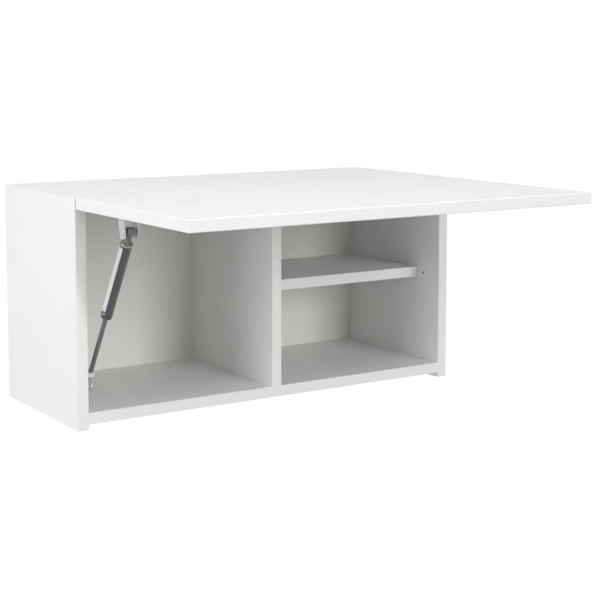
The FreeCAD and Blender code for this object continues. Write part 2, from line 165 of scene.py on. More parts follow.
def makeWhiteMelamine():
    # Particle board faced with a white melamine film pressed on hot: hard, even, a satin sheen over a faint
    # pebble, so highlights are wide and slightly broken. The sawn edges against the wall are left bare. The
    # real film's grain is near 0.3 mm, too fine to show, so the pebble is drawn coarser.
    look = {"white": "#E8E8E7", "shade": "#E6E6E5", "pebble": 1.6 * mm, "cloud": 54 * mm, "roughLow": 0.40,
            "roughHigh": 0.50, "sawnRougher": 0.4, "bump": 0.05, "relief": 0.2 * mm, "rearDepth": -0.5 * mm}
    material, place = newMaterial("whiteMelamineSatin")
    pebble = addNode(material, "ShaderNodeTexNoise",
                     {"Vector": place, "Scale": 1 / look["pebble"], "Detail": 2.0})
    cloud = addNode(material, "ShaderNodeTexNoise",
                    {"Vector": place, "Scale": 1 / look["cloud"], "Detail": 3.0})
    film = twoTone(material, cloud, look["white"], look["shade"], (0.35, 0.65))
    chipColour, chipHeight = chipboard(material, place)
    facing = addNode(material, "ShaderNodeTexCoord").outputs["Normal"]
    facing = addNode(material, "ShaderNodeSeparateXYZ", {0: facing}).outputs["Y"]
    depth = addNode(material, "ShaderNodeSeparateXYZ", {0: place}).outputs["Y"]
    facesWall = addNode(material, "ShaderNodeMath", {0: facing, 1: 0.9}, operation="GREATER_THAN")
    atWall = addNode(material, "ShaderNodeMath", {0: depth, 1: look["rearDepth"]}, operation="GREATER_THAN")
    sawn = addNode(material, "ShaderNodeMath", {0: facesWall, 1: atWall}, operation="MULTIPLY")
    colour = addNode(material, "ShaderNodeMix",
                     {0: sawn, 6: film, 7: chipColour}, data_type="RGBA").outputs[2]
    rough = addNode(material, "ShaderNodeMapRange", {"Value": pebble, "From Min": 0.3, "From Max": 0.7,
                                                     "To Min": look["roughLow"], "To Max": look["roughHigh"]})
    rough = addNode(material, "ShaderNodeMath", {0: sawn, 1: look["sawnRougher"], 2: rough},
                    operation="MULTIPLY_ADD")
    height = addNode(material, "ShaderNodeMix", {0: sawn, 2: pebble, 3: chipHeight}, data_type="FLOAT")
    bump = addNode(material, "ShaderNodeBump",
                   {"Strength": look["bump"], "Distance": look["relief"], "Height": height})
    return finishMaterial(material, colour, {"Roughness": rough, "Normal": bump, "IOR": 1.5})


def makeWhiteEdgeBand():
    # ABS edge band, extruded and trimmed: a shade glossier than the film, with faint lines along its length
    look = {"white": "#E8E8E7", "shade": "#E5E5E4", "line": 0.9 * mm, "cloud": 30 * mm,
            "stretch": (0.06, 1.0, 0.5), "roughLow": 0.34, "roughHigh": 0.44, "bump": 0.04,
            "relief": 0.1 * mm}
    material, place = newMaterial("whiteEdgeBandExtruded")
    drawn = addNode(material, "ShaderNodeVectorMath", {0: place, 1: look["stretch"]}, operation="MULTIPLY")
    lines = addNode(material, "ShaderNodeTexNoise",
                    {"Vector": drawn, "Scale": 1 / look["line"], "Detail": 2.0})
    cloud = addNode(material, "ShaderNodeTexNoise",
                    {"Vector": place, "Scale": 1 / look["cloud"], "Detail": 2.0})
    colour = twoTone(material, cloud, look["white"], look["shade"], (0.0, 1.0), (0.3, 0.7))
    return finishByPattern(material, colour, lines, look, {"IOR": 1.52})


def makeBackHardboard():
    # Wet-pressed hardboard: lacquered white and smooth on the room side, brown on the wall side, where the
    # drying screen leaves a fine square mesh
    look = {"lacquer": "#EEEDEA", "lacquerShade": "#EBEAE7", "brown": "#A67F55", "darkBrown": "#86623E",
            "screen": 2.0 * mm, "fibre": 3.0 * mm, "cloud": 40 * mm, "rough": 0.48, "rearRough": 0.75,
            "bump": 0.04, "rearBump": 0.5, "relief": 0.2 * mm}
    material, place = newMaterial("backHardboardLacquered")
    cloud = addNode(material, "ShaderNodeTexNoise",
                    {"Vector": place, "Scale": 1 / look["cloud"], "Detail": 3.0})
    front = twoTone(material, cloud, look["lacquer"], look["lacquerShade"], (0.0, 1.0), (0.3, 0.7))
    fibres = addNode(material, "ShaderNodeTexNoise",
                     {"Vector": place, "Scale": 1 / look["fibre"], "Detail": 6.0, "Roughness": 0.65})
    rear = twoTone(material, fibres, look["darkBrown"], look["brown"])
    facing = addNode(material, "ShaderNodeTexCoord").outputs["Normal"]
    facing = addNode(material, "ShaderNodeSeparateXYZ", {0: facing}).outputs["Y"]
    wallSide = addNode(material, "ShaderNodeMath", {0: facing, 1: 0.5}, operation="GREATER_THAN")
    along = addNode(material, "ShaderNodeSeparateXYZ", {0: place}).outputs
    waves = []
    for axis in (along["X"], along["Z"]):
        angle = addNode(material, "ShaderNodeMath", {0: axis, 1: 2 * math.pi / look["screen"]},
                        operation="MULTIPLY")
        waves.append(addNode(material, "ShaderNodeMath", {0: angle}, operation="SINE"))
    mesh = addNode(material, "ShaderNodeMath", {0: waves[0], 1: waves[1]}, operation="MAXIMUM")
    height = addNode(material, "ShaderNodeMix", {0: wallSide, 2: fibres, 3: mesh}, data_type="FLOAT")
    strength = addNode(material, "ShaderNodeMapRange",
                       {"Value": wallSide, "To Min": look["bump"], "To Max": look["rearBump"]})
    bump = addNode(material, "ShaderNodeBump",
                   {"Strength": strength, "Distance": look["relief"], "Height": height})
    colour = addNode(material, "ShaderNodeMix",
                     {0: wallSide, 6: front, 7: rear}, data_type="RGBA").outputs[2]
    rough = addNode(material, "ShaderNodeMapRange",
                    {"Value": wallSide, "To Min": look["rough"], "To Max": look["rearRough"]})
    uneven = addNode(material, "ShaderNodeMapRange", {"Value": cloud, "To Min": -0.04, "To Max": 0.04})
    rough = addNode(material, "ShaderNodeMath", {0: rough, 1: uneven}, operation="ADD")
    return finishMaterial(material, colour, {"Roughness": rough, "Normal": bump, "IOR": 1.5})


def makeBeech():
    # Turned beech: pale pinkish brown with short dark flecks along the grain
    look = {"pale": "#DCBB8E", "dark": "#B98D5F", "grain": 1.2 * mm, "stretch": (0.2, 1.0, 1.0), "rough": 0.6,
            "bump": 0.2, "relief": 0.1 * mm}
    material, place = newMaterial("beechTurned")
    drawn = addNode(material, "ShaderNodeVectorMath", {0: place, 1: look["stretch"]}, operation="MULTIPLY")
    grain = addNode(material, "ShaderNodeTexNoise",
                    {"Vector": drawn, "Scale": 1 / look["grain"], "Detail": 5.0, "Roughness": 0.6})
    colour = twoTone(material, grain, look["pale"], look["dark"], (0.35, 0.65))
    bump = addNode(material, "ShaderNodeBump",
                   {"Strength": look["bump"], "Distance": look["relief"], "Height": grain})
    return finishMaterial(material, colour, {"Roughness": look["rough"], "Normal": bump})


def makePlatedSteel(name, look):
    # Plated steel: bright, with cloudy patches where the plating took unevenly and fine scuffs from handling
    material, place = newMaterial(name)
    patches = addNode(material, "ShaderNodeTexNoise",
                      {"Vector": place, "Scale": 1 / look["patch"], "Detail": 3.0})
    drawn = addNode(material, "ShaderNodeVectorMath", {0: place, 1: look["stretch"]}, operation="MULTIPLY")
    scuffs = addNode(material, "ShaderNodeTexNoise",
                     {"Vector": drawn, "Scale": 1 / look["scuff"], "Detail": 5.0, "Roughness": 0.7})
    colour = twoTone(material, patches, look["bright"], look["dull"])
    worn = addNode(material, "ShaderNodeMath", {0: patches, 1: scuffs}, operation="MULTIPLY")
    rough = addNode(material, "ShaderNodeMapRange", {"Value": worn, "From Min": 0.12, "From Max": 0.42,
                                                     "To Min": look["roughLow"], "To Max": look["roughHigh"]})
    bump = addNode(material, "ShaderNodeBump",
                   {"Strength": look["bump"], "Distance": 0.05 * mm, "Height": scuffs})
    return finishMaterial(material, colour, {"Metallic": look["metal"], "Roughness": rough, "Normal": bump})


def makeStrutTube():
    # Drawn steel tube under a thin dark gloss lacquer: the metal shows through as long grey stripes under a
    # sharp top coat, with faint streaks along its length from the drawing die
    look = {"dark": "#5C5D5F", "light": "#68696B", "streak": 1.0 * mm, "stretch": (1.0, 0.05, 0.05),
            "roughLow": 0.13, "roughHigh": 0.18, "bump": 0.02, "relief": 0.02 * mm}
    material, place = newMaterial("drawnSteelTubeDarkLacquer")
    drawn = addNode(material, "ShaderNodeVectorMath", {0: place, 1: look["stretch"]}, operation="MULTIPLY")
    streaks = addNode(material, "ShaderNodeTexNoise",
                      {"Vector": drawn, "Scale": 1 / look["streak"], "Detail": 3.0})
    colour = twoTone(material, streaks, look["dark"], look["light"])
    return finishByPattern(material, colour, streaks, look,
                           {"Metallic": 1.0, "Coat Weight": 1.0, "Coat Roughness": 0.04})


def makeChromedRod():
    # Ground and hard-chromed bar: mirror bright with very fine rings round it from the grinding wheel, which
    # are drawn coarser than real grinding so that they show
    look = {"chrome": "#8E8F92", "shade": "#828387", "ring": 0.5 * mm, "stretch": (0.1, 0.6, 1.0),
            "roughLow": 0.12, "roughHigh": 0.2, "bump": 0.04, "relief": 0.02 * mm}
    material, place = newMaterial("rodHardChrome")
    drawn = addNode(material, "ShaderNodeVectorMath", {0: place, 1: look["stretch"]}, operation="MULTIPLY")
    rings = addNode(material, "ShaderNodeTexNoise",
                    {"Vector": drawn, "Scale": 1 / look["ring"], "Detail": 2.0})
    colour = twoTone(material, rings, look["chrome"], look["shade"], (0.0, 1.0), (0.2, 0.8))
    return finishByPattern(material, colour, rings, look, {"Metallic": 1.0})


def makeMoulded(name, look):
    # Moulded plastic: even colour, a fine spark-eroded texture and soft, wide highlights
    material, place = newMaterial(name)
    texture = addNode(material, "ShaderNodeTexNoise",
                      {"Vector": place, "Scale": 1 / look["texture"], "Detail": 4.0, "Roughness": 0.6})
    flow = addNode(material, "ShaderNodeTexNoise", {"Vector": place, "Scale": 1 / (12 * mm), "Detail": 2.0})
    colour = twoTone(material, flow, look["light"], look["shade"])
    return finishByPattern(material, colour, texture, look, {"IOR": 1.49})


def makeLabelFilm():
    # Polyester label film, calendered: pale and even, with a low satin sheen and a faint grain
    look = {"light": "#CFCFCE", "shade": "#C8C8C7", "grain": 1.0 * mm, "roughLow": 0.28, "roughHigh": 0.38}
    material, place = newMaterial("labelFilmPolyester")
    grain = addNode(material, "ShaderNodeTexNoise",
                    {"Vector": place, "Scale": 1 / look["grain"], "Detail": 3.0})
    return finishByPattern(material, twoTone(material, grain, look["light"], look["shade"]), grain, look,
                           {"IOR": 1.57})


def makeClearRubber():
    # Cast polyurethane dot: clear and rubbery, cloudy inside, with a soft skin
    look = {"tint": "#F4F4F0", "milk": "#DCDCD6", "haze": 2.0 * mm, "roughLow": 0.16, "roughHigh": 0.28}
    material, place = newMaterial("clearRubberCast")
    haze = addNode(material, "ShaderNodeTexNoise",
                   {"Vector": place, "Scale": 1 / look["haze"], "Detail": 3.0})
    return finishByPattern(material, twoTone(material, haze, look["tint"], look["milk"]), haze, look,
                           {"IOR": 1.49, "Transmission Weight": 0.75})


finishes = {
    "melamine_board": makeWhiteMelamine(),
    "edge_band": makeWhiteEdgeBand(),
    "back_board": makeBackHardboard(),
    "beech_dowel": makeBeech(),
    "nickel_steel": makePlatedSteel("pressedSteelNickelPlate", {
        "metal": 1.0, "bright": "#CBC8C0", "dull": "#B9B6AE", "patch": 14 * mm, "scuff": 0.6 * mm,
        "stretch": (0.2, 1.0, 1.0), "roughLow": 0.18, "roughHigh": 0.3, "bump": 0.06}),
    "zinc_steel": makePlatedSteel("pressedSteelZincPlate", {
        "metal": 0.5, "bright": "#DCDCDC", "dull": "#CDCECE", "patch": 6 * mm, "scuff": 0.5 * mm,
        "stretch": (1.0, 1.0, 0.25), "roughLow": 0.28, "roughHigh": 0.46, "bump": 0.1}),
    "screw_steel": makePlatedSteel("coldHeadedSteelZincPlate", {
        "metal": 1.0, "bright": "#C9CACB", "dull": "#A8A9AA", "patch": 3 * mm, "scuff": 0.4 * mm,
        "stretch": (1.0, 1.0, 1.0), "roughLow": 0.24, "roughHigh": 0.4, "bump": 0.08}),
    "zinc_casting": makePlatedSteel("zincAlloyDieCast", {
        "metal": 1.0, "bright": "#B3B4B6", "dull": "#8F9093", "patch": 5 * mm, "scuff": 0.7 * mm,
        "stretch": (1.0, 1.0, 1.0), "roughLow": 0.4, "roughHigh": 0.6, "bump": 0.25}),
    "white_plastic": makeMoulded("whitePolyethyleneMoulded", {
        "light": "#F0F0EE", "shade": "#E9E9E6", "texture": 0.8 * mm, "roughLow": 0.36, "roughHigh": 0.5,
        "bump": 0.08, "relief": 0.05 * mm}),
    "strut_steel": makeStrutTube(),
    "chromed_rod": makeChromedRod(),
    # This grey is darkened to stand for the shade the strut's upper eye sits in under the flap: painted shade
    "grey_plastic": makeMoulded("greyNylonGlassFilled", {
        "light": "#828385", "shade": "#747577", "texture": 0.7 * mm, "roughLow": 0.38, "roughHigh": 0.55,
        "bump": 0.15, "relief": 0.05 * mm}),
    "clear_rubber": makeClearRubber(),
}
# The strut's foot takes a paler copy of the same nylon: painted light, the lit partner of the darker grey
# that stands for the upper eye's shade
ownFinish = {"strut_lower_eye": makeMoulded("paleGreyNylonGlassFilled", {
    "light": "#B6B7B8", "shade": "#A9AAAB", "texture": 0.7 * mm, "roughLow": 0.38, "roughHigh": 0.55,
    "bump": 0.15, "relief": 0.05 * mm})}
print("materials made:", len(finishes) + len(ownFinish))


# Carried-over parts: real finish, broken edges

edgeWidths = {"melamine_board": 0.15 * mm, "edge_band": 0.2 * mm, "back_board": 0.2 * mm,
              "nickel_steel": 0.25 * mm, "zinc_steel": 0.3 * mm, "grey_plastic": 0.35 * mm}


def softenEdges(piece, width, angle=35):
    # Join the split faces, then break each edge sharper than the angle
    weld = piece.modifiers.new("weld", "WELD")
    weld.merge_threshold = 0.001 * mm
    flats = piece.modifiers.new("flats", "DECIMATE")
    flats.decimate_type = "DISSOLVE"
    flats.angle_limit = math.radians(0.5)
    bevel = piece.modifiers.new("brokenEdges", "BEVEL")
    bevel.width = width
    bevel.segments = 2
    bevel.limit_method = "ANGLE"
    bevel.angle_limit = math.radians(angle)
    bevel.use_clamp_overlap = True
    bevel.harden_normals = False
    normals = piece.modifiers.new("normals", "WEIGHTED_NORMAL")
    normals.keep_sharp = True


for node, part in nodes.items():
    part.data.materials.clear()
    part.data.materials.append(ownFinish.get(node, finishes[slotOf[node]]))
    if slotOf[node] in edgeWidths:
        softenEdges(part, edgeWidths[slotOf[node]])
print("parts finished")


# Small hardware, turned or moulded in one piece each

def solidsOf(node):
    # The box of each separate solid in a node, in the order of its place
    shell = bmesh.new()
    shell.from_mesh(nodes[node].data)
    bmesh.ops.remove_doubles(shell, verts=shell.verts, dist=0.001 * mm)
    waiting = set(shell.verts)
    boxes = []
    while waiting:
        reach = [waiting.pop()]
        found = []
        while reach:
            vertex = reach.pop()
            found.append(vertex.co.copy())
            for edge in vertex.link_edges:
                other = edge.other_vert(vertex)
                if other in waiting:
                    waiting.discard(other)
                    reach.append(other)
        low = Vector([min(point[axis] for point in found) for axis in range(3)])
        high = Vector([max(point[axis] for point in found) for axis in range(3)])
        boxes.append((low, high))
    shell.free()
    return sorted(boxes, key=lambda box: tuple(round(value, 5) for value in box[0]))


def turnedShell(shell, rings, sides, matrix, ripple=None):
    # Closed body of revolution from (height, radius) rings; ripple changes the radius round and along it
    loops = []
    for height, radius in rings:
        loop = []
        for side in range(sides):
            angle = 2 * math.pi * side / sides
            reach = radius + (ripple(angle, height, radius) if ripple else 0.0)
            point = Vector((reach * math.cos(angle), reach * math.sin(angle), height))
            loop.append(shell.verts.new(matrix @ point))
        loops.append(loop)
    for lower, upper in zip(loops, loops[1:]):
        for side in range(sides):
            after = (side + 1) % sides
            shell.faces.new((lower[side], lower[after], upper[after], upper[side]))
    shell.faces.new(loops[0][::-1])
    shell.faces.new(loops[-1])


def alongFrom(start, direction):
    # Matrix that lays a part drawn up +Z along the direction, its zero at the start
    turn = Vector((0, 0, 1)).rotation_difference(Vector(direction))
    return Matrix.Translation(start) @ turn.to_matrix().to_4x4()


def newPiece(name, shell):
    # An object in the scene from a finished shell
    bmesh.ops.recalc_face_normals(shell, faces=shell.faces)
    mesh = bpy.data.meshes.new(name)
    shell.to_mesh(mesh)
    shell.free()
    piece = bpy.data.objects.new(name, mesh)
    bpy.context.scene.collection.objects.link(piece)
    return piece


def addTrim(name, shell, finish, body, slot, sharp=35):
    # A piece on a body, smooth but for the edges sharper than this
    piece = newPiece(name, shell)
    piece.data.shade_smooth()
    piece.data.set_sharp_from_angle(angle=math.radians(sharp))
    piece.data.materials.append(finish)
    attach(piece, body)
    return piece


def finishPiece(name, shell, node, sharp=40):
    # A piece that stands for one of the carried-over parts, in that part's finish
    slot = slotOf[node]
    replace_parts(addTrim(name, shell, finishes[slot], bodyOf[node], slot, sharp), node)


def cutAway(piece, cutter):
    # The piece's mesh with the cutter's shape taken out of it, and both blanks removed
    cut = piece.modifiers.new("cut", "BOOLEAN")
    cut.object = cutter
    cut.operation = "DIFFERENCE"
    cut.solver = "EXACT"
    cut.use_self = True
    bpy.context.view_layer.update()
    mesh = bpy.data.meshes.new_from_object(piece.evaluated_get(bpy.context.evaluated_depsgraph_get()))
    bpy.data.objects.remove(piece)
    bpy.data.objects.remove(cutter)
    return mesh


def middleOf(box):
    return (box[0] + box[1]) / 2


def longAxis(box):
    size = box[1] - box[0]
    return max(range(3), key=lambda axis: size[axis])


# Pan-head screws: a domed head with a cross recess, and a coarse thread to a point

screw = {"headRadius": 3.8 * mm, "headHeight": 1.6 * mm, "neckRadius": 1.75 * mm, "threadDepth": 0.5 * mm,
         "pitch": 1.6 * mm, "length": 12 * mm, "threadStart": 0.5 * mm, "point": 2.6 * mm, "tip": 0.4 * mm,
         "stepsPerTurn": 8, "sides": 28, "recess": 2.1 * mm, "recessWidth": 0.45 * mm,
         "recessDepth": 1.2 * mm, "recessTop": 1.12, "recessFloor": 0.62}
screwWays = {"hinge_cup_screws": (0, 0, 1), "hinge_plate_screws": (0, 0, 1), "hinge_arm_screws": (0, 0, 1),
             "strut_side_screws": (-1, 0, 0), "strut_flap_screws": (0, 0, 1),
             "wall_bracket_screws": (0, 0, 1)}


def makeScrewMesh():
    # Head from -headHeight to 0, shank from 0 on, all drawn up +Z
    head = screw["headHeight"]
    radius = screw["headRadius"]
    rings = [(-head, 0.35 * radius), (-head * 0.985, 0.5 * radius), (-head * 0.93, 0.68 * radius),
             (-head * 0.82, 0.83 * radius), (-head * 0.62, 0.95 * radius), (-head * 0.4, radius),
             (-head * 0.08, radius), (0.0, 0.97 * radius), (0.0, screw["neckRadius"] + 0.3 * mm),
             (0.35 * mm, screw["neckRadius"])]
    length = screw["length"]
    threadStart = screw["threadStart"]
    steps = int((length - 2 * threadStart) / screw["pitch"] * screw["stepsPerTurn"])
    for step in range(1, steps + 1):
        height = threadStart + (length - threadStart - screw["tip"]) * step / steps
        taper = min(1.0, (length - height) / screw["point"])
        rings.append((height, max(0.25 * mm, screw["neckRadius"] * taper)))
    rings.append((length, 0.12 * mm))

    def thread(angle, height, radius):
        if height < threadStart or height > length - screw["tip"] / 2:
            return 0.0
        turn = (height / screw["pitch"] - angle / (2 * math.pi)) % 1.0
        crest = max(0.0, 1.0 - abs(turn - 0.5) / 0.24)
        fade = min(1.0, (height - threadStart) / (2 * threadStart))
        return screw["threadDepth"] * crest * fade * min(1.0, radius / screw["neckRadius"])

    shell = bmesh.new()
    turnedShell(shell, rings, screw["sides"], Matrix.Identity(4), thread)
    # Cross recess cutter, narrower towards its floor
    cutter = bmesh.new()
    reach = screw["recess"]
    half = screw["recessWidth"]
    for turn in (0, math.pi / 2):
        corners = []
        for height, scale in ((-head - 0.5 * mm, screw["recessTop"]),
                              (-head + screw["recessDepth"], screw["recessFloor"])):
            for x, y in ((-reach, -half), (reach, -half), (reach, half), (-reach, half)):
                point = Matrix.Rotation(turn, 3, "Z") @ Vector((x * scale, y * (0.6 + 0.4 * scale), height))
                corners.append(cutter.verts.new(point))
        for face in ((3, 2, 1, 0), (4, 5, 6, 7), (0, 1, 5, 4), (1, 2, 6, 5), (2, 3, 7, 6), (3, 0, 4, 7)):
            cutter.faces.new([corners[index] for index in face])
    return cutAway(newPiece("screwBlank", shell), newPiece("recessCutter", cutter))


screwMesh = makeScrewMesh()
for node, way in screwWays.items():
    shell = bmesh.new()
    for count, box in enumerate(solidsOf(node)):
        middle = middleOf(box)
        direction = Vector(way)
        length = abs((box[1] - box[0]).dot(direction))
        seat = middle + direction * (screw["headHeight"] - length / 2)
        spin = Matrix.Rotation(0.7 + 1.9 * count, 4, "Z")       # no two screws stop at the same turn
        copy = screwMesh.copy()
        copy.transform(alongFrom(seat, direction) @ spin)
        shell.from_mesh(copy)
        bpy.data.meshes.remove(copy)
    finishPiece(node + "_threaded", shell, node, 30)
print("screws made")


# Fluted dowels with chamfered ends, pressed in on glue

dowel = {"flutes": 14, "fluteDepth": 0.3 * mm, "chamfer": 1.2 * mm, "sides": 84}


def fluting(angle, height, radius):
    return -dowel["fluteDepth"] * (0.5 + 0.5 * math.cos(dowel["flutes"] * angle))


shell = bmesh.new()
for box in solidsOf("dowels"):
    axis = longAxis(box)
    direction = Vector((0, 0, 0))
    direction[axis] = 1.0
    length = (box[1] - box[0])[axis]
    radius = min(box[1] - box[0]) / 2
    start = middleOf(box) - direction * length / 2
    rings = [(0.0, radius * 0.74), (dowel["chamfer"], radius), (length - dowel["chamfer"], radius),
             (length, radius * 0.74)]
    turnedShell(shell, rings, dowel["sides"], alongFrom(start, direction), fluting)
finishPiece("dowels_fluted", shell, "dowels", 60)


# Back-panel brads: flat heads flush with the hardboard, a round shank and a point

brad = {"headRadius": 1.5 * mm, "headHeight": 0.45 * mm, "point": 1.6 * mm, "sides": 20}
shell = bmesh.new()
for box in solidsOf("back_panel_brads"):
    radius = min(box[1] - box[0]) / 2
    length = (box[1] - box[0])[1]
    start = Vector((middleOf(box).x, box[1].y, middleOf(box).z))
    rings = [(0.0, brad["headRadius"] * 0.9), (0.12 * mm, brad["headRadius"]),
             (brad["headHeight"], brad["headRadius"]), (brad["headHeight"] + 0.5 * mm, radius),
             (length - brad["point"], radius), (length, radius * 0.1)]
    turnedShell(shell, rings, brad["sides"], alongFrom(start, (0, -1, 0)))
finishPiece("back_panel_brads_headed", shell, "back_panel_brads")


# Shelf pins: turned steel with rounded ends and a shallow groove where the board's face meets them

pin = {"rounding": 0.9 * mm, "groove": 0.2 * mm, "sides": 32}
shell = bmesh.new()
for box in solidsOf("shelf_pins"):
    radius = min(box[1] - box[0]) / 2
    length = (box[1] - box[0])[0]
    start = Vector((box[0].x, middleOf(box).y, middleOf(box).z))
    half = length / 2
    rings = [(0.0, radius - pin["rounding"]), (0.25 * mm, radius - 0.35 * mm), (pin["rounding"], radius),
             (half - 0.5 * mm, radius), (half - 0.2 * mm, radius - pin["groove"]),
             (half + 0.2 * mm, radius - pin["groove"]), (half + 0.5 * mm, radius),
             (length - pin["rounding"], radius), (length - 0.25 * mm, radius - 0.35 * mm),
             (length, radius - pin["rounding"])]
    turnedShell(shell, rings, pin["sides"], alongFrom(start, (1, 0, 0)))
finishPiece("shelf_pins_turned", shell, "shelf_pins", 50)


# Cam bolts: ball head, waisted shank and a deep wood thread

bolt = {"headLength": 3.0 * mm, "shank": 2.5 * mm, "waist": 1.9 * mm, "threadLength": 11 * mm,
        "pitch": 1.8 * mm, "core": 2.3 * mm, "depth": 0.7 * mm, "stepsPerTurn": 8, "sides": 24}


def boltThread(length):
    start = length - bolt["threadLength"]

    def ripple(angle, height, radius):
        if height < start or height > length - 0.6 * mm:
            return 0.0
        turn = ((height - start) / bolt["pitch"] - angle / (2 * math.pi)) % 1.0
        fade = min(1.0, (height - start) / (0.8 * mm), (length - height) / (2.0 * mm))
        return bolt["depth"] * max(0.0, 1.0 - abs(turn - 0.5) / 0.3) * fade
    return ripple


def boltWays():
    # Each bolt points at the panel it screws into: outwards on the side panels, up or down at the divider
    for box in solidsOf("cam_bolts"):
        axis = longAxis(box)
        direction = Vector((0, 0, 0))
        direction[axis] = math.copysign(1.0, middleOf(box)[axis])
        yield box, axis, direction


shell = bmesh.new()
for box, axis, direction in boltWays():
    length = (box[1] - box[0])[axis]
    headRadius = min(box[1] - box[0]) / 2
    start = middleOf(box) - direction * length / 2
    neck = length - bolt["threadLength"]
    rings = [(0.0, headRadius * 0.6), (0.4 * mm, headRadius * 0.9), (1.2 * mm, headRadius),
             (2.2 * mm, headRadius * 0.92), (bolt["headLength"], bolt["waist"]),
             (bolt["headLength"] + 2.5 * mm, bolt["waist"]), (bolt["headLength"] + 3.5 * mm, bolt["shank"]),
             (neck - 1.4 * mm, bolt["shank"]), (neck - 1.3 * mm, headRadius * 0.95),
             (neck - 0.2 * mm, headRadius * 0.95), (neck - 0.1 * mm, bolt["core"])]
    steps = int(bolt["threadLength"] / bolt["pitch"] * bolt["stepsPerTurn"])
    for step in range(1, steps):
        height = neck + bolt["threadLength"] * step / steps
        rings.append((height, bolt["core"] * min(1.0, 0.35 + (length - height) / (2.0 * mm))))
    rings.append((length, 0.5 * mm))
    turnedShell(shell, rings, bolt["sides"], alongFrom(start, direction), boltThread(length))
finishPiece("cam_bolts_threaded", shell, "cam_bolts", 35)


# Cam locks: cast discs with a rim, a hollow round the cross slot and the open jaw that draws the bolt in

cam = {"rim": 0.9 * mm, "dish": 0.8 * mm, "slotLength": 9.2 * mm, "slotWidth": 1.1 * mm,
       "slotDepth": 2.6 * mm, "jawRadius": 3.9 * mm, "jawStart": -5.0 * mm, "jawEnd": 12.0 * mm,
       "jawSides": 32, "sides": 48}
camShell = bmesh.new()
capShell = bmesh.new()
camFaces = []
for lockBox, capBox in zip(solidsOf("cam_locks"), solidsOf("cam_caps")):
    capSize = capBox[1] - capBox[0]
    axis = min(range(3), key=lambda index: capSize[index])
    lockSize = lockBox[1] - lockBox[0]
    outward = math.copysign(1.0, (middleOf(capBox) - middleOf(lockBox))[axis])
    direction = Vector((0, 0, 0))
    direction[axis] = outward
    radius = max(lockSize) / 2
    depth = lockSize[axis]
    face = middleOf(lockBox) + direction * depth / 2
    place = alongFrom(face, direction)
    camFaces.append(place)
    rings = [(-depth, radius - 0.6 * mm), (-depth + 0.6 * mm, radius), (-0.4 * mm, radius),
             (0.0, radius - 0.4 * mm), (0.0, radius - cam["rim"] - 0.3 * mm),
             (-cam["dish"], radius - cam["rim"] - 0.8 * mm)]
    turnedShell(camShell, rings, cam["sides"], place)
    capRadius = max(capSize) / 2
    thick = capSize[axis]
    rings = [(0.0, capRadius - 0.3 * mm), (0.25 * mm, capRadius), (0.55 * mm, capRadius - 0.12 * mm),
             (thick, capRadius - 0.9 * mm), (thick, capRadius - 2.2 * mm),
             (thick - 0.2 * mm, capRadius - 3.4 * mm)]
    turnedShell(capShell, rings, cam["sides"], place)
slots = bmesh.new()
slotSize = Matrix.Diagonal((cam["slotLength"], cam["slotWidth"], cam["slotDepth"] * 2, 1.0))
for place in camFaces:
    for turn in (math.pi / 4, -math.pi / 4):
        bmesh.ops.create_cube(slots, size=1.0, matrix=place @ Matrix.Rotation(turn, 4, "Z") @ slotSize)
jawRings = [(cam["jawStart"], cam["jawRadius"]), (cam["jawEnd"], cam["jawRadius"])]
for box, axis, direction in boltWays():
    start = middleOf(box) - direction * (box[1] - box[0])[axis] / 2
    turnedShell(slots, jawRings, cam["jawSides"], alongFrom(start, direction))
locksMesh = cutAway(newPiece("camBlanks", camShell), newPiece("camSlots", slots))
locks = bmesh.new()
locks.from_mesh(locksMesh)
bpy.data.meshes.remove(locksMesh)
finishPiece("cam_locks_slotted", locks, "cam_locks", 35)
finishPiece("cam_caps_dished", capShell, "cam_caps", 35)
print("board fittings made")


# Rubber dots: low domes stuck on by their flat side

dot = {"sides": 40, "skirt": 0.35 * mm, "steps": 10}
shell = bmesh.new()
for box in solidsOf("flap_bumpers"):
    radius = (box[1] - box[0]).x / 2
    height = (box[1] - box[0]).z
    middle = middleOf(box)
    rings = [(0.0, radius - 0.15 * mm), (0.12 * mm, radius), (dot["skirt"], radius)]
    for step in range(1, dot["steps"]):
        angle = math.pi / 2 * step / dot["steps"]
        rings.append((dot["skirt"] + (height - dot["skirt"]) * math.sin(angle),
                      radius * (0.12 + 0.88 * math.cos(angle))))
    rings.append((height, radius * 0.1))
    turnedShell(shell, rings, dot["sides"], alongFrom(Vector((middle.x, middle.y, box[1].z)), (0, 0, -1)))
finishPiece("flap_bumpers_domed", shell, "flap_bumpers", 60)


# Rivets: pressed domes on the bracket's cheeks

rivet = {"sides": 32, "shank": 2.5 * mm, "headHeight": 1.5 * mm, "skirt": 0.2 * mm, "dome": 1.3 * mm,
         "steps": 8}
shell = bmesh.new()
pinMiddle = middleOf(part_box("strut_upper_pin"))
for box in solidsOf("strut_flap_rivets"):
    middle = middleOf(box)
    outward = Vector((math.copysign(1.0, middle.x - pinMiddle.x), 0, 0))
    length = (box[1] - box[0]).x
    radius = (box[1] - box[0]).z / 2
    cheekFace = middle + outward * (length / 2 - rivet["headHeight"])
    rings = [(rivet["headHeight"] - length, rivet["shank"]), (0.0, rivet["shank"]),
             (0.0, radius - 0.2 * mm), (rivet["skirt"], radius)]
    for step in range(1, rivet["steps"]):
        angle = math.pi / 2 * step / rivet["steps"]
        rings.append((rivet["skirt"] + rivet["dome"] * math.sin(angle),
                      radius * (0.08 + 0.92 * math.cos(angle))))
    turnedShell(shell, rings, rivet["sides"], alongFrom(cheekFace, outward))
finishPiece("strut_flap_rivets_domed", shell, "strut_flap_rivets", 50)


# Gas strut tube: drawn tube, rolled in at the rod end and grooved where the gland is crimped

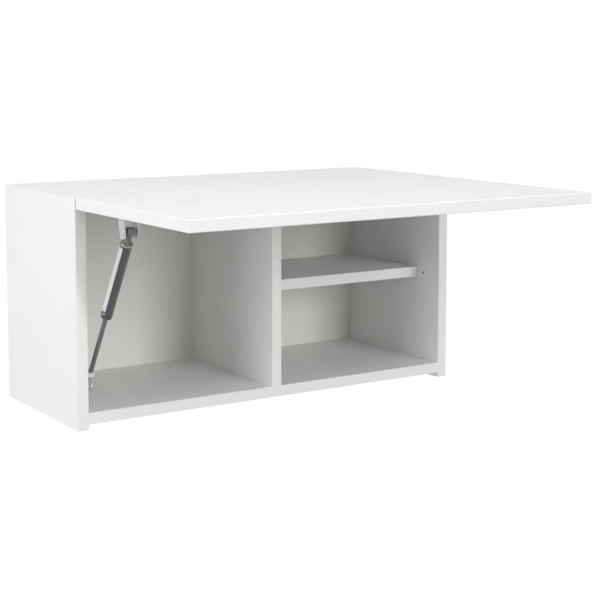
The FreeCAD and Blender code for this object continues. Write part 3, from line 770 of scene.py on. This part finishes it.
strut = {"radius": 7.5 * mm, "bore": 6.5 * mm, "rounding": 1.4 * mm, "crimpBack": 9.0 * mm,
         "crimpDepth": 0.6 * mm, "lip": 5.2 * mm, "plugDepth": 3.0 * mm, "plugHole": 4.0 * mm,
         "rollDepth": 0.25 * mm, "sides": 72}


def reachOf(node, start, along):
    # How near and how far a part lies along a line from its start
    reach = [(vertex.co - start).dot(along) for vertex in nodes[node].data.vertices]
    return min(reach), max(reach)


def curvedRings(centre, radius, size, start, end, steps=6):
    # Rounded shoulders: rings on an arc of this size between two angles in degrees
    rings = []
    for step in range(steps + 1):
        angle = math.radians(start + (end - start) * step / steps)
        rings.append((centre + size * math.sin(angle), radius + size * math.cos(angle)))
    return rings


# The strut's line runs from the upper pivot down through the middle of the rod
upperPivot = middleOf(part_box("strut_upper_pin"))
downStrut = (middleOf(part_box("strut_rod")) - upperPivot).normalized()
tubeStart, tubeEnd = reachOf("strut_tube", upperPivot, downStrut)
radius = strut["radius"]
rounding = strut["rounding"]
groove = radius - strut["crimpDepth"]
shoulder = radius - 0.7 * strut["crimpDepth"]
rolled = radius - strut["rollDepth"]
crimp = tubeEnd - strut["crimpBack"]
rings = [(tubeStart + strut["plugDepth"], 0.5 * mm), (tubeStart + strut["plugDepth"], strut["bore"]),
         (tubeEnd - 0.8 * mm, strut["bore"]), (tubeEnd - 0.2 * mm, strut["lip"]), (tubeEnd, strut["lip"]),
         (tubeEnd, radius - rounding)]
rings += curvedRings(tubeEnd - rounding, radius - rounding, rounding, 75, 0)
rings.append((tubeEnd - rounding - 0.3 * mm, radius))
for offset, reach in ((1.7, radius), (1.3, radius), (0.7, shoulder), (0.25, groove),
                      (-0.25, groove), (-0.7, shoulder), (-1.3, radius), (-1.7, radius)):
    rings.append((crimp + offset * mm, reach))
for offset, reach in ((5.0, radius), (4.6, radius), (4.2, rolled), (3.6, rolled), (3.2, radius)):
    rings.append((tubeStart + offset * mm, reach))
rings += curvedRings(tubeStart + rounding, radius - rounding, rounding, 0, -80)
rings += [(tubeStart, radius - rounding - 0.4 * mm), (tubeStart, strut["plugHole"])]
shell = bmesh.new()
turnedShell(shell, rings, strut["sides"], alongFrom(upperPivot, downStrut))
finishPiece("strut_tube_drawn", shell, "strut_tube", 35)


# Bright ring pressed over the tube's closed end

endRing = {"radius": 7.75 * mm, "length": 2.6 * mm, "back": 0.15 * mm, "bore": 4.1 * mm}
outer = endRing["radius"]
low = tubeStart - endRing["back"]
high = tubeStart + endRing["length"]
rings = [(low, endRing["bore"]), (low, outer - 0.5 * mm), (low + 0.15 * mm, outer - 0.15 * mm),
         (low + 0.5 * mm, outer), (high - 0.3 * mm, outer), (high, radius + 0.05 * mm),
         (high, radius - 0.3 * mm)]
shell = bmesh.new()
turnedShell(shell, rings, strut["sides"], alongFrom(upperPivot, downStrut))
addTrim("strut_tube_ring", shell, finishes["nickel_steel"], bodyOf["strut_tube"], "nickel_steel")


# Plain film label, without print, wrapped round the side of the tube that faces the panel

label = {"thick": 0.12 * mm, "roomward": 37, "wallward": 55, "start": 5.5 * mm, "end": 12.0 * mm, "steps": 24,
         "corner": 1.2 * mm}
place = alongFrom(upperPivot, downStrut)
toLocal = place.to_3x3().inverted()
panelward = toLocal @ Vector((-1, 0, 0))
roomward = toLocal @ Vector((0, -1, 0))
centre = math.atan2(panelward.y, panelward.x)
turn = math.copysign(1.0, math.sin(math.atan2(roomward.y, roomward.x) - centre))
first = math.radians(-label["wallward"])
last = math.radians(label["roomward"])
shell = bmesh.new()
columns = []
for step in range(label["steps"] + 1):
    angle = centre + turn * (first + (last - first) * step / label["steps"])
    nearEdge = min(step, label["steps"] - step)
    inset = label["corner"] * max(0.0, 1.0 - nearEdge / 1.5)
    column = []
    for reach in (radius - 0.05 * mm, radius + label["thick"]):
        for height in (tubeStart + label["start"] + inset, tubeEnd - label["end"] - inset):
            point = Vector((reach * math.cos(angle), reach * math.sin(angle), height))
            column.append(shell.verts.new(place @ point))
    columns.append(column)
for before, after in zip(columns, columns[1:]):
    for one, two in ((0, 1), (1, 3), (3, 2), (2, 0)):
        shell.faces.new((before[one], before[two], after[two], after[one]))
for column in (columns[0], columns[-1]):
    shell.faces.new([column[index] for index in (0, 1, 3, 2)])
addTrim("strut_tube_label", shell, makeLabelFilm(), bodyOf["strut_tube"], "white_plastic")


# Pale moulded collar where the rod meets the lower eye

collar = {"radius": 5.7 * mm, "length": 5.4 * mm, "back": 0.2 * mm, "rounding": 0.5 * mm, "sides": 48}
eyeStart = reachOf("strut_lower_eye", upperPivot, downStrut)[0]
outer = collar["radius"]
end = collar["length"]
rings = [(0.0, outer * 0.66), (0.0, outer * 0.86), (collar["rounding"], outer),
         (end - collar["rounding"], outer), (end, outer * 0.86), (end, outer * 0.66)]
shell = bmesh.new()
turnedShell(shell, rings, collar["sides"],
            alongFrom(upperPivot + downStrut * (eyeStart - collar["back"]), downStrut))
addTrim("strut_lower_collar", shell, finishes["white_plastic"], bodyOf["strut_rod"], "white_plastic")
print("small hardware made")


# Stage, light and camera

def makeStage():
    # Pale seamless floor, far enough below that the cabinet hangs clear of it
    look = {"white": "#FFFFFF", "size": 40.0, "drop": 1.6, "mottle": 0.4, "glowLow": 1.02, "glowHigh": 1.06}
    shell = bmesh.new()
    bmesh.ops.create_grid(shell, x_segments=1, y_segments=1, size=look["size"])
    floor = newPiece("floor", shell)
    floor.location.z = cadLow.z - look["drop"]
    material, place = newMaterial("palePaper")
    mottle = addNode(material, "ShaderNodeTexNoise",
                     {"Vector": place, "Scale": 1 / look["mottle"], "Detail": 2.0})
    glow = addNode(material, "ShaderNodeMapRange",
                   {"Value": mottle, "To Min": look["glowLow"], "To Max": look["glowHigh"]})
    emission = addNode(material, "ShaderNodeEmission", {"Color": linear(look["white"]), "Strength": glow})
    addNode(material, "ShaderNodeOutputMaterial", {"Surface": emission})
    floor.data.materials.append(material)
    floor.visible_diffuse = False
    floor.visible_glossy = False
    floor.visible_shadow = False
    floor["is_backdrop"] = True


def makeLamps():
    lamps = {"key": {"at": (-1.1, -2.6, 1.9), "size": 1.6, "watts": 20.0},
             "overhead": {"at": (0.0, -0.8, 2.4), "size": 1.6, "watts": 37.0},
             "left": {"at": (-2.6, -0.35, 0.6), "size": 1.6, "watts": 42.0},
             "front": {"at": (1.3, -5.8, 1.3), "size": 2.0, "watts": 118.0}}
    target = Vector((0.0, -0.2, 0.0))
    for name, look in lamps.items():
        data = bpy.data.lights.new(name, "AREA")
        data.shape = "SQUARE"
        data.size = look["size"]
        data.energy = look["watts"]
        lamp = bpy.data.objects.new(name, data)
        lamp.location = look["at"]
        aim = target - Vector(look["at"])
        lamp.rotation_euler = aim.to_track_quat("-Z", "Y").to_euler()
        bpy.context.scene.collection.objects.link(lamp)


def makeSky():
    # The room light is a soft dome, a little dimmer overhead; what is seen behind the cabinet is plain white
    sky = {"up": 0.36, "down": 0.55, "seen": 1.05, "blend": 0.15}
    world = bpy.data.worlds.new("studio")
    world.use_nodes = True
    world.node_tree.nodes.clear()
    upward = addNode(world, "ShaderNodeTexCoord").outputs["Generated"]
    upward = addNode(world, "ShaderNodeSeparateXYZ", {0: upward}).outputs["Z"]
    dome = addNode(world, "ShaderNodeMapRange", {
        "Value": upward, "From Min": -sky["blend"], "From Max": sky["blend"],
        "To Min": sky["down"], "To Max": sky["up"]})
    seen = addNode(world, "ShaderNodeLightPath").outputs["Is Camera Ray"]
    strength = addNode(world, "ShaderNodeMix", {0: seen, 2: dome, 3: sky["seen"]}, data_type="FLOAT")
    background = addNode(world, "ShaderNodeBackground", {"Color": linear("#FFFFFF"), "Strength": strength})
    addNode(world, "ShaderNodeOutputWorld", {"Surface": background})
    bpy.context.scene.world = world


def makeCamera():
    view = {"at": (-1.0453, -1.8824, 0.3223), "yaw": 32.854, "pitch": -5.984, "lens": 86.02, "sensor": 36.0,
            "shiftX": 0.018, "shiftY": -0.15}
    yaw = math.radians(view["yaw"])
    pitch = math.radians(view["pitch"])
    forward = Vector((math.sin(yaw) * math.cos(pitch), math.cos(yaw) * math.cos(pitch), math.sin(pitch)))
    data = bpy.data.cameras.new("camera")
    data.lens = view["lens"]
    data.sensor_width = view["sensor"]
    data.shift_x = view["shiftX"]
    data.shift_y = view["shiftY"]
    camera = bpy.data.objects.new("camera", data)
    camera.location = view["at"]
    camera.rotation_euler = forward.to_track_quat("-Z", "Y").to_euler()
    bpy.context.scene.collection.objects.link(camera)
    bpy.context.scene.camera = camera


makeStage()
makeLamps()
makeSky()
makeCamera()
bpy.context.scene.view_settings.view_transform = "Standard"
print("stage set")

low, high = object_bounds()
